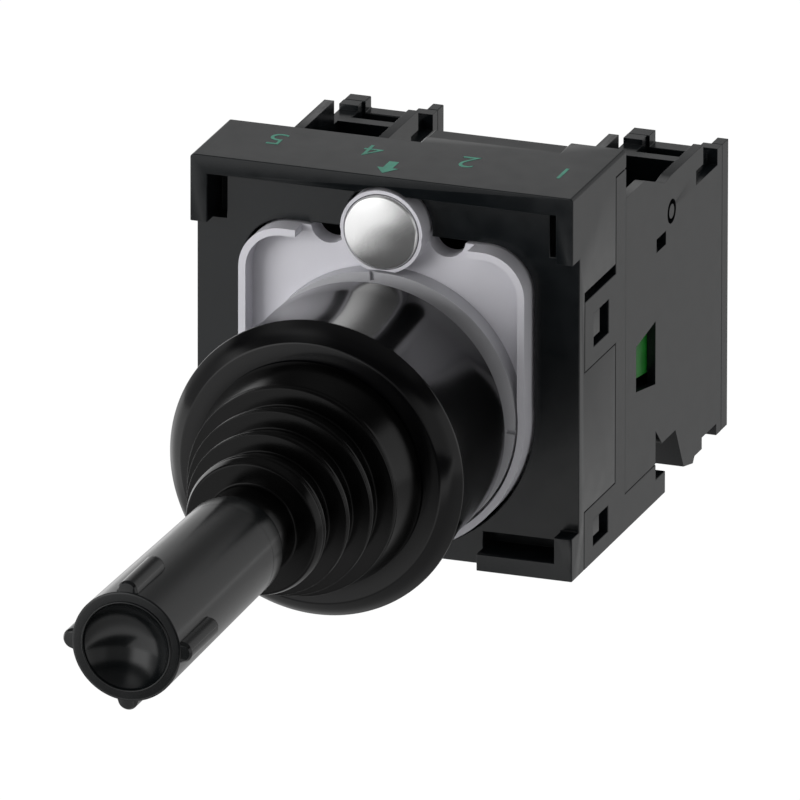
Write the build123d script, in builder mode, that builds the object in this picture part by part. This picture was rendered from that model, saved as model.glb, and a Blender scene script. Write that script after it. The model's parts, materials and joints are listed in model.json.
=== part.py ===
from build123d import *
from math import asin, cos, radians, sin
import os

# Industrial joystick for a 22 mm panel cut-out: a rubber-booted lever that tilts left and right,
# a four-slot holder behind the panel, and one contact module in each outer slot.
# X points right as seen by the user, Y points to the back and Z up. The origin is the centre of
# the panel cut-out, on the panel's rear face. The lever lies along the Y axis. Sizes are in mm.

# Clearances
seam = 0.06
press_clearance = 0.02
pin_clearance = 0.05
thread_clearance = 0.06
running_clearance = 0.08
seat_clearance = 0.1
collar_clearance = 0.2
plate_clearance = 0.3
overcut = 1.0

# Collar through the panel, and its locking ring
panel_gap = 3.0
collar_radius = 11.0
collar_wall = 1.5
collar_ledge = 0.6
collar_overhang = 2.23
flange_rim = 1.5
flange_thickness = 2.0
seal_thickness = 1.4
lug_height = 0.8
lug_length = 1.4
lug_sweep = 24.0
ring_width = 3.05
ring_groove = 0.25
ring_groove_depth = 1.2
tick_width = 0.45
tick_depth = 0.35
tick_length = 0.9
tick_angles = (94, 176, 274, 356)

# Clamp plate around the ring, and the pressure disc of its screw
plate_margin = 0.95
plate_flank = 0.9
plate_shoulder = 0.9
plate_corner = 4.5
plate_floor = 2.1
rim_width = 0.75
rim_gap = 0.9
notch_radius = 1.95
notch_setoff = 1.85
notch_rise = 0.3
tab_rim = 0.44
ear_root = 0.6
ear_reach = 1.7
ear_thickness = 1.4
ear_half_height = 5.0
disc_radius = 3.86
disc_gap = 0.39
disc_front = -0.3
disc_thickness = 2.3
disc_dome = 0.3
disc_edge = 0.35
disc_play = 0.4
screw_radius = 1.95
screw_tip_radius = 1.2
screw_tip_length = 1.4
screw_head_radius = 2.8
screw_head_height = 2.2
screw_head_sunk = 1.2
screw_head_chamfer = 0.3
screw_slot_width = 0.6
screw_slot_depth = 1.1
screw_boss_radius = 3.6
screw_boss_length = 5.0
cross_share = 0.75

# Front frame
face_step = 2.07
front_wall = 2.5
side_wall = 2.6
roof_wall = 1.9
roof_margin = 1.5
foot_margin = 0.9
ear_gap = 0.75
lip_height = 1.94
end_leg_width = 1.8
end_leg_drop = 7.0
pocket_width = 1.3
pocket_depth = 2.1
foot_lip_height = 1.8
foot_lip_length = 10.0
foot_post_width = 1.9
foot_post_height = 4.5
foot_pocket_height = 1.6
front_frame_depth = 12.75
roof_depth = 11.0
tongue_width = 6.0
edge_break = 0.25

# Rear frame, its latch arms and the ledge under the contact modules
slot_count = 4
holder_depth = 15.8
rear_plate_margin = 0.7
rear_strip_drop = 0.35
slot_web = 3.4
slot_window_height = 11.0
ledge_block_length = 9.15
ledge_block_height = 3.9
ledge_length = 12.0
ledge_height = 2.3
arm_thickness = 1.3
arm_front = 3.6
arm_gap = 1.0
upper_arm_drop = 12.0
upper_arm_height = 7.34
lower_arm_height = 6.1
latch_front = 6.3
latch_depth = 4.4
latch_nose_depth = 2.2
latch_nose_sunk = 0.15
latch_slit = 0.8
upper_latch_rise = 1.89
upper_latch_height = 3.45
lower_latch_rise = 1.7
lower_latch_height = 2.7

# Bell at the front of the panel
bell_height = 17.5
bell_wall = 1.6
bell_band = 3.2
bell_flare = 1.2
bell_nose = 1.8
bell_front_wall = 1.6
bell_mouth_rim = 2.8

# Pivot, rocker and lever rod
pivot_distance = 13.0
tilt_limit = 14.0
pin_radius = 1.25
pin_seat = 1.6
pin_chamfer = 0.15
hub_radius = 3.5
hub_half_length = 6.3
cheek_radius = 2.9
cheek_gap = 0.3
socket_radius = 3.6
socket_length = 11.0
socket_depth = 7.5
rod_radius = 2.5
rod_chamfer = 0.3
rocker_arm_inset = 2.5
rocker_front = 1.4
rocker_thickness = 2.2
rocker_height = 4.4
rocker_nose = 1.0

# Bellows
fold_count = 4
fold_start = 5.2
fold_pitch = 3.43
fold_taper = 1.23
fold_radius = 10.8
fold_rim = 1.0
fold_valley = 1.9
fold_slope = 0.45
boot_wall = 0.9
boot_foot_rim = 2.0
boot_flange_gap = 0.2
boot_flange_thickness = 1.4
boot_throat_wall = 1.4
boot_throat_end = 4.3
boot_end_length = 1.5
boot_end_radius = 6.8
boot_neck_radius = 4.6
boot_neck_length = 4.8
boot_clearance = 0.1

# Handle
handle_length = 30.6
handle_back_radius = 5.2
handle_front_radius = 5.6
tip_round = 0.7
tip_flat = 0.47
dish_depth = 2.4
grip_wall = 4.6
rib_count = 4
rib_radius = 1.05
rib_length = 8.45
rib_setback = 0.25
rib_nose = 0.45
rib_run_out = 0.8

# Push rods between the rocker and the contact modules, and the springs
push_rod_radius = 1.3
push_head_radius = 1.9
push_head_thickness = 1.2
push_gap = 0.25
push_play = 0.3
push_foot_thickness = 1.9
push_foot_height = 4.6
push_foot_overhang = 1.6
push_nose_radius = 1.9
guide_front = -2.0
guide_back = 1.5
spring_wire = 0.24
spring_wire_sides = 4
spring_turns = 3.0
centring_spring_radius = 1.72
return_spring_radius = 1.5
return_spring_length = 4.4

# Plunger and contacts of a module
plunger_side_wall = 1.0
plunger_sunk = 0.7
plunger_setback = 2.14
plunger_length = 9.0
plunger_play = 0.41
plunger_top = 3.2
plunger_bottom_front = -1.5
plunger_bottom_back = -2.65
plunger_neck_half = 2.1
channel_clearance = 0.07
channel_bottom = -3.7
stem_radius = 1.3
stem_waist = 0.9
stem_flange_radius = 1.95
stem_flange_thickness = 1.0
stem_end_gap = 1.3
chamber_wall = 1.0
chamber_half_height = 8.6
chamber_half_width = 3.3
chamber_play = 1.2
bridge_play = 0.2
bridge_thickness = 0.6
bridge_half_length = 6.6
bridge_half_width = 1.6
contact_margin = 0.15
contact_tip_radius = 1.1
contact_tip_height = 0.35
blade_thickness = 0.6
blade_inner = 3.6
blade_inset = 0.4
blade_half_width = 1.6
terminal_run = 5.7
terminal_height = 9.6
terminal_half_height = 3.0
terminal_half_width = 2.9
terminal_plate_thickness = 0.8
terminal_screw_radius = 1.45
terminal_screw_reach = 1.9
terminal_head_radius = 2.4
terminal_head_height = 1.9
terminal_head_sunk = 0.7
terminal_slot_width = 0.6
terminal_slot_depth = 0.8
washer_thickness = 0.8

# Housing of a module
module_gap = 0.04
module_wall = 1.05
module_top_drop = 5.15
module_roof_drop = 2.0
module_nose_length = 5.54
module_dip_start = 11.64
module_dip_end = 13.34
module_dip = 0.25
spring_seat = 2.3
cap_thickness = 1.9
cap_lift = 0.8
cap_saddle_depth = 1.2
cap_left_post = 2.7
cap_right_post = 3.8
belly_rise = 3.44
belly_slope = 1.9
belly_length = 5.95
hook_start = 8.45
hook_length = 2.8
hook_drop = 0.6
hook_nose = 0.5
bay_wall = 0.6
bay_floor_wall = 1.5
wire_entry_setback = 1.4
wire_entry_length = 4.3
wire_entry_drop = 0.6
wire_entry_depth = 1.7
wire_entry_foot = 2.1
wire_entry_foot_height = 1.5
lower_entry_depth = 1.2
ejector_radius = 1.25
ejector_pin_radius = 0.75
ejector_depth = 0.6
ejector_place = (13.64, 3.0)
square_mark = ((9.14, 11.94), (0.1, 1.5))
window_inset = (1.0, 2.2)
window_front = (-2.4, 2.3)
window_back = (-3.5, 3.1)

# Radii and heights that follow, from the collar outwards
collar_bore = collar_radius - collar_wall
ring_radius = collar_radius + ring_width
plate_round = ring_radius + plate_margin
plate_half_width = ring_radius + plate_flank
tab_height = ring_radius + disc_gap + disc_radius
tab_radius = disc_radius + tab_rim
plate_top = tab_height - plate_shoulder
notch_offset = tab_radius + notch_setoff
rim_break = notch_offset + notch_radius + rim_gap
half_frame = plate_half_width + ear_reach + ear_gap + side_wall
frame_top = tab_height + tab_radius + roof_margin
frame_bottom = -plate_round - foot_margin
slot_pitch = 2 * half_frame / slot_count
edge_slot = (slot_count - 1) / 2 * slot_pitch
rear_plate_top = tab_height + screw_head_radius + plate_clearance + rear_plate_margin
upper_arm_top = frame_top - upper_arm_drop
upper_arm_bottom = upper_arm_top - upper_arm_height
lower_arm_top = frame_bottom + lower_arm_height
bell_bore = collar_radius + flange_rim
bell_base_radius = bell_bore + bell_wall
bell_flare_radius = bell_base_radius + bell_flare
bell_face_radius = bell_flare_radius - bell_nose
bell_mouth = bell_bore - bell_mouth_rim
boot_throat = bell_mouth - boot_throat_wall
rocker_arm = collar_bore - rocker_arm_inset

# Depths that follow, from the handle's tip to the rear frame
stroke = rocker_arm * sin(radians(tilt_limit))
bell_back = -panel_gap
bell_front = bell_back - bell_height
last_fold = bell_front - fold_start - (fold_count - 1) * fold_pitch
boot_end = last_fold - boot_end_length
boot_neck_end = boot_end - boot_neck_length
handle_back = boot_neck_end - boot_clearance
handle_tip = handle_back - handle_length
rod_end = handle_tip + dish_depth + grip_wall
pivot_y = -pivot_distance
socket_end = pivot_y - socket_length
rocker_back = pivot_y + rocker_front + rocker_thickness
cage_front = bell_front + bell_front_wall + boot_flange_thickness + seat_clearance
collar_front = pivot_y + hub_radius
push_head_front = rocker_back + rocker_nose + push_gap
push_head_back = push_head_front + push_head_thickness
wall_back = face_step + front_wall
collar_back = wall_back + collar_overhang
push_foot_front = collar_back + stroke + push_play
push_foot_back = push_foot_front + push_foot_thickness
disc_back = disc_front + disc_thickness
screw_head_back = holder_depth - screw_head_sunk
rear_plate_front = front_frame_depth + seam
ledge_block_end = holder_depth + ledge_block_length

# Depths inside a contact module, from its front to its back
module_front = holder_depth + seam
plunger_head = holder_depth - plunger_sunk
plunger_front = module_front + plunger_setback
plunger_back = plunger_front + plunger_length
channel_end = plunger_back + stroke + plunger_play
chamber_front = channel_end + chamber_wall
bridge_front = chamber_front + stroke + bridge_play
bridge_back = bridge_front + bridge_thickness
contact_face = bridge_back + contact_tip_height + stroke + contact_margin
chamber_back = contact_face + blade_thickness + chamber_play
stem_end = chamber_back + stem_end_gap
return_spring_back = stem_end + return_spring_length
terminal_plate_front = contact_face + terminal_run
terminal_plate_back = terminal_plate_front + terminal_plate_thickness
cap_front = return_spring_back + spring_seat
module_back = cap_front + cap_thickness
terminal_head_back = module_back - terminal_head_sunk
terminal_head_front = terminal_head_back - terminal_head_height
terminal_screw_tip = terminal_plate_front - terminal_screw_reach
wire_entry_back = cap_front - wire_entry_setback
wire_entry_front = wire_entry_back - wire_entry_length

# Widths and heights inside a contact module
module_outer = slot_pitch / 2 - module_gap
module_inner = module_outer - module_wall
plunger_half_width = slot_pitch / 2 - plunger_side_wall
module_top = frame_top - module_top_drop
module_roof = module_top - module_roof_drop
module_shelf = frame_bottom + ledge_block_height + seam
cap_bottom = frame_bottom + cap_lift
cap_top = -cap_bottom
belly_top = module_shelf + belly_rise
belly_bottom = belly_top - belly_slope
bay_floor = chamber_half_height + bay_floor_wall
terminal_inner = terminal_height - terminal_half_height
blade_run = terminal_inner + blade_inset
wire_entry_floor = cap_top - wire_entry_depth

# Side outline of a contact module as depth and height, from the lower front corner round the back
module_outline = (
    (module_front, module_shelf),
    (ledge_block_end, module_shelf),
    (ledge_block_end, belly_top),
    (ledge_block_end + belly_slope, belly_bottom),
    (ledge_block_end + belly_length, belly_bottom),
    (ledge_block_end + hook_start, cap_bottom),
    (ledge_block_end + hook_start + hook_length, cap_bottom - hook_drop),
    (ledge_block_end + hook_start + hook_length + hook_nose, cap_bottom),
    (cap_front, cap_bottom),
    (cap_front, cap_top),
    (wire_entry_back, cap_top),
    (wire_entry_back, cap_top - wire_entry_drop),
    (wire_entry_front, cap_top - wire_entry_drop),
    (wire_entry_front, module_roof),
    (module_front + module_dip_end, module_roof),
    (module_front + module_dip_start, module_roof - module_dip),
    (module_front + module_nose_length, module_top),
    (module_front, module_top),
)
# Latch arms on each side: the arm's lower and upper limits, and those of the hole in it
latch_arms = (
    (
        (upper_arm_bottom + seam, upper_arm_top),
        (upper_arm_bottom, upper_arm_top + arm_gap),
        (upper_arm_bottom + upper_latch_rise, upper_latch_height),
    ),
    (
        (frame_bottom, lower_arm_top - seam),
        (frame_bottom, lower_arm_top),
        (frame_bottom + lower_latch_rise, lower_latch_height),
    ),
)


def facing_front(y):
    """Plane at depth y whose normal points to the user, with X to the right and Z up."""
    return Plane(origin=(0, y, 0), x_dir=(1, 0, 0), z_dir=(0, -1, 0))


def facing_up(z):
    """Level plane at height z, with X to the right and Y to the back."""
    return Plane.XY.offset(z)


def facing_right(x):
    """Upright plane at x whose normal points right, with Y to the back and Z up."""
    return Plane.YZ.offset(x)


def turning(x, z):
    """Section plane through a turning axis along Y at (x, z), and that axis."""
    plane = Plane(origin=(x, 0, z), x_dir=(0, 1, 0), z_dir=(1, 0, 0))
    return plane, Axis((x, 0, z), (0, 1, 0))


def span(across, up, mode=Mode.ADD):
    """A rectangle in the sketch being drawn, between two pairs of limits."""
    with Locations(((across[0] + across[1]) / 2, (up[0] + up[1]) / 2)):
        Rectangle(abs(across[1] - across[0]), abs(up[1] - up[0]), mode=mode)


def pocket(x, y, z):
    """Cuts the space between three pairs of limits from the part being built."""
    with Locations(((x[0] + x[1]) / 2, (y[0] + y[1]) / 2, (z[0] + z[1]) / 2)):
        Box(x[1] - x[0], y[1] - y[0], abs(z[1] - z[0]), mode=Mode.SUBTRACT)


def bore(radius, start, end, x=0.0, z=0.0):
    """Cuts a round bore along Y, between two depths, from the part being built."""
    with Locations(Plane(origin=(x, (start + end) / 2, z), z_dir=(0, 1, 0))):
        Cylinder(radius, end - start, mode=Mode.SUBTRACT)


def half_profile(*sections):
    """Half outline of a turned piece, from sections of start, end and radius in order."""
    points = [(sections[0][0], 0)]
    for start, end, radius in sections:
        points += [(start, radius), (end, radius)]
    return points + [(sections[-1][1], 0)]


def cap_arc(rim_y, rim_radius, apex_y):
    """Arc of a spherical cap around the Y axis, from its rim to its apex."""
    height = apex_y - rim_y
    ball = (rim_radius**2 + height**2) / (2 * height)
    half_angle = asin(rim_radius / abs(ball)) / 2
    middle = (apex_y - ball * (1 - cos(half_angle)), abs(ball) * sin(half_angle))
    return ThreePointArc((rim_y, rim_radius), middle, (apex_y, 0))


def cross_slot(radius, width):
    """A screwdriver's cross in the sketch being drawn, for a head of that radius."""
    length = 2 * radius * cross_share
    Rectangle(length, width)
    Rectangle(width, length)


def plate_outline(grow=0.0):
    """Outline of the clamp plate without its tab, made larger by grow."""
    top = plate_top + grow
    with BuildSketch() as outline:
        Circle(plate_round + grow)
        span((-plate_half_width - grow, plate_half_width + grow), (0, top))
        corners = outline.vertices().group_by(Axis.Y)[-1]
        fillet(corners, plate_corner + grow)
    return outline.sketch


def spring(start, end, x, mean_radius):
    """A compression spring along Y between two depths."""
    length = end - start - 2 * spring_wire
    with BuildPart() as coil:
        with BuildLine() as path:
            Helix(
                length / spring_turns,
                length,
                mean_radius,
                center=(x, start + spring_wire, 0),
                direction=(0, 1, 0),
            )
        with BuildSketch(path.line ^ 0):
            RegularPolygon(spring_wire, spring_wire_sides)
        sweep(is_frenet=True)
    return coil


def finish(part, name):
    """Label one piece and write it under its name."""
    part.part.label = name
    export_step(part.part, f"parts/{name}.step")


os.makedirs("parts", exist_ok=True)

# Front frame: an open-backed tray with the stepped face that meets the panel
with BuildPart() as front_frame:
    with BuildSketch(facing_front(front_frame_depth)):
        span((-half_frame, half_frame), (frame_bottom, frame_top))
    extrude(amount=front_frame_depth - face_step)
    # The lip along the top with its end legs, and the feet with their posts, reach the panel
    with BuildSketch(facing_front(face_step)):
        span((0, half_frame), (frame_top - lip_height, frame_top))
        span((half_frame - end_leg_width, half_frame), (frame_top - end_leg_drop, frame_top))
        span(
            (half_frame - foot_lip_length, half_frame),
            (frame_bottom, frame_bottom + foot_lip_height),
        )
        span(
            (half_frame - foot_post_width, half_frame),
            (frame_bottom, frame_bottom + foot_post_height),
        )
        mirror(about=Plane.YZ)
    extrude(amount=face_step)
    # Hollow behind the front wall
    with BuildSketch(facing_front(front_frame_depth)):
        span(
            (-half_frame + side_wall, half_frame - side_wall),
            (frame_bottom + foot_lip_height, frame_top - roof_wall),
        )
    extrude(amount=front_frame_depth - wall_back, mode=Mode.SUBTRACT)
    # The roof ends early on the left, and a tongue runs to the back at the right corner
    with BuildSketch(facing_up(frame_top)):
        span((-half_frame, 0), (roof_depth, front_frame_depth))
    extrude(amount=-roof_wall, mode=Mode.SUBTRACT)
    with BuildSketch(facing_up(frame_top)):
        span((half_frame - tongue_width, half_frame), (roof_depth, holder_depth))
    extrude(amount=-roof_wall)
    # Window for the clamp plate and its tab
    with BuildSketch(facing_front(wall_back)):
        add(plate_outline(plate_clearance))
        with Locations((0, tab_height)):
            Circle(tab_radius + plate_clearance)
    extrude(amount=wall_back, mode=Mode.SUBTRACT)
    # Narrow pockets beside the end legs and over the feet
    with BuildSketch(facing_front(face_step + pocket_depth)):
        span(
            (half_frame - end_leg_width - pocket_width, half_frame - end_leg_width),
            (frame_top - end_leg_drop, frame_top - lip_height),
        )
        foot_top = frame_bottom + foot_lip_height
        span(
            (half_frame - foot_lip_length, half_frame - foot_post_width),
            (foot_top, foot_top + foot_pocket_height),
        )
        mirror(about=Plane.YZ)
    extrude(amount=face_step + pocket_depth, mode=Mode.SUBTRACT)
    # Recesses for the latch arms, each with a snap nose left standing in it
    for side in (-1, 1):
        recess_depth = arm_thickness + seam
        with BuildSketch(facing_right(side * (half_frame - recess_depth))):
            for _, recess, _ in latch_arms:
                span((arm_front, front_frame_depth), recess)
        extrude(amount=side * recess_depth, mode=Mode.SUBTRACT)
        with BuildSketch(facing_right(side * (half_frame - side_wall))):
            for _, _, (latch_bottom, latch_height) in latch_arms:
                span(
                    (latch_front + seam, latch_front + latch_nose_depth),
                    (latch_bottom + latch_slit, latch_bottom + latch_height - seam),
                )
        extrude(amount=side * (side_wall - latch_nose_sunk))
    chamfer(front_frame.edges().filter_by(Axis.Y).group_by(Axis.Z)[-1], edge_break)
finish(front_frame, "front_frame")

# Rear frame: carries the contact modules and grips the front frame with four latch arms
with BuildPart() as rear_frame:
    # Plate with one window for each slot and the way to the clamp screw
    with BuildSketch(facing_front(holder_depth)):
        span((-half_frame, half_frame), (frame_bottom, rear_plate_top))
        span((0, half_frame - tongue_width - seam), (rear_plate_top, frame_top - rear_strip_drop))
        with GridLocations(slot_pitch, 1, slot_count, 1):
            Rectangle(slot_pitch - slot_web, slot_window_height, mode=Mode.SUBTRACT)
        with Locations((0, tab_height)):
            Circle(screw_head_radius + plate_clearance, mode=Mode.SUBTRACT)
    extrude(amount=holder_depth - rear_plate_front)
    with BuildSketch(facing_right(-half_frame)):
        span((holder_depth, holder_depth + ledge_length), (frame_bottom, frame_bottom + ledge_height))
        span((holder_depth, ledge_block_end), (frame_bottom, frame_bottom + ledge_block_height))
    extrude(amount=2 * half_frame)
    for side in (-1, 1):
        with BuildSketch(facing_right(side * (half_frame - arm_thickness))):
            for arm, _, (latch_bottom, latch_height) in latch_arms:
                span((arm_front + seam, rear_plate_front), arm)
                span(
                    (latch_front, latch_front + latch_depth),
                    (latch_bottom, latch_bottom + latch_height),
                    mode=Mode.SUBTRACT,
                )
        extrude(amount=side * arm_thickness)
finish(rear_frame, "rear_frame")

# Clamp plate: die-cast, with a thin rim, a round tab for the screw and a bore for the ring
with BuildPart() as clamp_plate:
    with BuildSketch(facing_front(wall_back)):
        add(plate_outline())
        with Locations((0, tab_height)):
            Circle(tab_radius)
    extrude(amount=wall_back - plate_floor)
    # The rim follows the outline and stops on both sides of the tab
    with BuildSketch(facing_front(plate_floor)):
        add(plate_outline())
        add(plate_outline(-rim_width), mode=Mode.SUBTRACT)
        span((-rim_break, rim_break), (plate_top - rim_width, plate_top), mode=Mode.SUBTRACT)
        with Locations((0, tab_height)):
            Circle(tab_radius)
    extrude(amount=plate_floor)
    # Two half-round notches in the top edge
    with BuildSketch(facing_front(wall_back)):
        with Locations(*((side * notch_offset, plate_top + notch_rise) for side in (-1, 1))):
            Circle(notch_radius)
    extrude(amount=wall_back, mode=Mode.SUBTRACT)
    # Threaded boss behind the tab, and ears that bear on the back of the front frame
    with BuildSketch(facing_front(wall_back + screw_boss_length)):
        with Locations((0, tab_height)):
            Circle(screw_boss_radius)
    extrude(amount=screw_boss_length)
    with BuildSketch(facing_front(wall_back + ear_thickness)):
        ear = (plate_half_width - ear_root, plate_half_width + ear_reach)
        span(ear, (-ear_half_height, ear_half_height))
        mirror(about=Plane.YZ)
    extrude(amount=ear_thickness)
    with Locations(facing_front(0)):
        Hole(ring_radius + press_clearance)
        Hole(ring_radius + ring_groove, depth=ring_groove_depth)
        with Locations((0, tab_height)):
            CounterBoreHole(
                radius=screw_radius + thread_clearance,
                counter_bore_radius=disc_radius + running_clearance,
                counter_bore_depth=disc_back + disc_play + seat_clearance,
            )
finish(clamp_plate, "clamp_plate")

# Pressure disc: polished steel, slightly domed, turned on the tip of the clamp screw
screw_section, screw_axis = turning(0, tab_height)
with BuildPart() as pressure_disc:
    tip_bore_front = disc_back - screw_tip_length - seat_clearance
    tip_bore_radius = screw_tip_radius + running_clearance
    with BuildSketch(screw_section):
        with BuildLine():
            Polyline(
                (disc_front - disc_dome, 0),
                (tip_bore_front, 0),
                (tip_bore_front, tip_bore_radius),
                (disc_back, tip_bore_radius),
                (disc_back, disc_radius),
                (disc_front + disc_edge, disc_radius),
                (disc_front, disc_radius - disc_edge),
            )
            cap_arc(disc_front, disc_radius - disc_edge, disc_front - disc_dome)
        make_face()
    revolve(axis=screw_axis)
finish(pressure_disc, "pressure_disc")

# Clamp screw: driven from behind, with a plain tip that carries the disc
with BuildPart() as clamp_screw:
    shank_front = disc_back + seat_clearance / 2
    head_seat = screw_head_back - screw_head_height
    with BuildSketch(screw_section):
        with BuildLine():
            Polyline(
                *half_profile(
                    (disc_back - screw_tip_length, shank_front, screw_tip_radius),
                    (shank_front, head_seat, screw_radius),
                    (head_seat, screw_head_back, screw_head_radius),
                ),
                close=True,
            )
        make_face()
    revolve(axis=screw_axis)
    chamfer(clamp_screw.edges().group_by(Axis.Y)[-1], screw_head_chamfer)
    with BuildSketch(facing_front(screw_head_back)):
        with Locations((0, tab_height)):
            cross_slot(screw_head_radius, screw_slot_width)
    extrude(amount=screw_slot_depth, mode=Mode.SUBTRACT)
finish(clamp_screw, "clamp_screw")

# Locking ring: sits in the plate's bore and holds the lugs of the collar
with BuildPart() as locking_ring:
    with BuildSketch(facing_front(wall_back)):
        Circle(ring_radius)
        Circle(collar_radius + collar_clearance, mode=Mode.SUBTRACT)
    extrude(amount=wall_back)
    with BuildSketch(facing_front(tick_depth)):
        for angle in tick_angles:
            with PolarLocations(ring_radius, 1, start_angle=angle):
                Rectangle(2 * tick_length, tick_width)
    extrude(amount=tick_depth, mode=Mode.SUBTRACT)
finish(locking_ring, "locking_ring")

# Mounting collar: the 22 mm tube through the panel, with a flange in the bell and two lugs behind
flange_back = bell_back - seal_thickness
flange_front = flange_back - flange_thickness
lug_middle = wall_back + seat_clearance + lug_length / 2
with BuildPart() as collar_lug:
    with BuildSketch(facing_right(0)):
        with Locations((lug_middle, collar_radius)):
            Rectangle(lug_length, 2 * lug_height)
    revolve(axis=Axis.Y, revolution_arc=lug_sweep)
with BuildPart() as mounting_collar:
    with BuildSketch(facing_right(0)):
        with BuildLine():
            Polyline(
                (collar_front, collar_bore),
                (collar_front, collar_radius),
                (flange_front, collar_radius),
                (flange_front, bell_bore - press_clearance),
                (flange_back, bell_bore - press_clearance),
                (flange_back, collar_radius),
                (collar_back, collar_radius),
                (collar_back, collar_bore - collar_ledge),
                (guide_back, collar_bore - collar_ledge),
                (guide_back, collar_bore),
                close=True,
            )
        make_face()
    revolve(axis=Axis.Y)
    with Locations(*(Rotation(0, turn + lug_sweep / 2, 0) for turn in (0, 180))):
        add(collar_lug.part)
finish(mounting_collar, "mounting_collar")

# Seal between the bell and the panel
with BuildPart() as panel_seal:
    with BuildSketch(facing_front(bell_back)):
        Circle(bell_bore - seat_clearance)
        Circle(collar_radius + seat_clearance, mode=Mode.SUBTRACT)
    extrude(amount=seal_thickness)
finish(panel_seal, "panel_seal")

# Bell: gloss shell that flares in an S of two arcs from the panel to its rounded front edge
with BuildPart() as bell_housing:
    band_end = bell_back - bell_band
    nose_start = bell_front + bell_nose
    flare_middle = ((band_end + nose_start) / 2, bell_base_radius + bell_flare / 2)
    inner_front = bell_front + bell_front_wall
    with BuildSketch(facing_right(0)):
        with BuildLine():
            Polyline(
                (bell_front, bell_face_radius),
                (bell_front, bell_mouth),
                (inner_front, bell_mouth),
                (inner_front, bell_bore),
                (bell_back, bell_bore),
                (bell_back, bell_base_radius),
                (band_end, bell_base_radius),
            )
            TangentArc((band_end, bell_base_radius), flare_middle, tangent=(-1, 0))
            TangentArc((nose_start, bell_flare_radius), flare_middle, tangent=(1, 0))
            TangentArc(
                (nose_start, bell_flare_radius), (bell_front, bell_face_radius), tangent=(-1, 0)
            )
        make_face()
    revolve(axis=Axis.Y)
finish(bell_housing, "bell_housing")

# Pivot cage: a ring in the bell with two bosses that hold the pivot pin
with BuildPart() as pivot_cage:
    cage_back = collar_front - seat_clearance
    cheek_start = hub_half_length + cheek_gap
    boss_end = collar_bore + pin_seat
    with BuildSketch(facing_front(cage_back)):
        Circle(bell_bore - seat_clearance)
        Circle(collar_bore, mode=Mode.SUBTRACT)
    extrude(amount=cage_back - cage_front)
    for side in (-1, 1):
        with BuildSketch(facing_up(side * cheek_start)):
            with Locations((0, pivot_y)):
                Circle(cheek_radius)
        extrude(amount=side * (boss_end - cheek_start))
    with BuildSketch(facing_up(0)):
        with Locations((0, pivot_y)):
            Circle(pin_radius + press_clearance)
    extrude(amount=boss_end, both=True, mode=Mode.SUBTRACT)
finish(pivot_cage, "pivot_cage")

# Pivot pin, pressed into the cage
with BuildPart() as pivot_pin:
    with BuildSketch(facing_up(0)):
        with Locations((0, pivot_y)):
            Circle(pin_radius)
    extrude(amount=boss_end, both=True)
    chamfer(pivot_pin.edges(), pin_chamfer)
finish(pivot_pin, "pivot_pin")

# Rocker: hub on the pin, socket for the lever rod and two arms with rounded noses
with BuildPart() as rocker:
    with BuildSketch(facing_up(0)):
        with Locations((0, pivot_y)):
            Circle(hub_radius)
    extrude(amount=hub_half_length, both=True)
    with BuildSketch(facing_up(0)):
        arm_end = rocker_arm + rocker_nose
        span((-arm_end, arm_end), (pivot_y + rocker_front, rocker_back))
        with Locations((-rocker_arm, rocker_back), (rocker_arm, rocker_back)):
            Circle(rocker_nose)
    extrude(amount=rocker_height / 2, both=True)
    with BuildSketch(facing_front(pivot_y)):
        Circle(socket_radius)
    extrude(amount=socket_length)
    with BuildSketch(facing_front(socket_end + socket_depth)):
        Circle(rod_radius + press_clearance)
    extrude(amount=socket_depth, mode=Mode.SUBTRACT)
    with BuildSketch(facing_up(0)):
        with Locations((0, pivot_y)):
            Circle(pin_radius + pin_clearance)
    extrude(amount=hub_half_length, both=True, mode=Mode.SUBTRACT)
finish(rocker, "rocker")

# Lever rod: steel, from the rocker's socket into the handle
with BuildPart() as lever_rod:
    with BuildSketch(facing_front(socket_end + socket_depth)):
        Circle(rod_radius)
    extrude(amount=socket_end + socket_depth - rod_end)
    chamfer(lever_rod.edges(), rod_chamfer)
finish(lever_rod, "lever_rod")

# Handle: slightly tapered grip with a dished end and short half-round ribs
with BuildPart() as grip_ribs:
    rib_front = handle_tip + rib_setback
    with BuildSketch(facing_front(rib_front + rib_length)):
        with PolarLocations(handle_front_radius, rib_count):
            Circle(rib_radius)
    extrude(amount=rib_length)
    ends = grip_ribs.edges().filter_by(GeomType.CIRCLE).group_by(Axis.Y)
    chamfer(ends[0], rib_nose)
    chamfer(ends[-1], rib_run_out)
with BuildPart() as handle:
    dish_rim = handle_front_radius - tip_round - tip_flat
    with BuildSketch(facing_right(0)):
        with BuildLine():
            Polyline(
                (handle_tip + dish_depth, 0),
                (handle_back, 0),
                (handle_back, handle_back_radius),
                (handle_tip + tip_round, handle_front_radius),
            )
            TangentArc(
                (handle_tip + tip_round, handle_front_radius),
                (handle_tip, handle_front_radius - tip_round),
                tangent=(-1, 0),
            )
            Line((handle_tip, handle_front_radius - tip_round), (handle_tip, dish_rim))
            cap_arc(handle_tip, dish_rim, handle_tip + dish_depth)
        make_face()
    revolve(axis=Axis.Y)
    add(grip_ribs.part)
    with BuildSketch(facing_front(handle_back)):
        Circle(rod_radius + press_clearance)
    extrude(amount=handle_back - rod_end, mode=Mode.SUBTRACT)
finish(handle, "handle")

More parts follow.
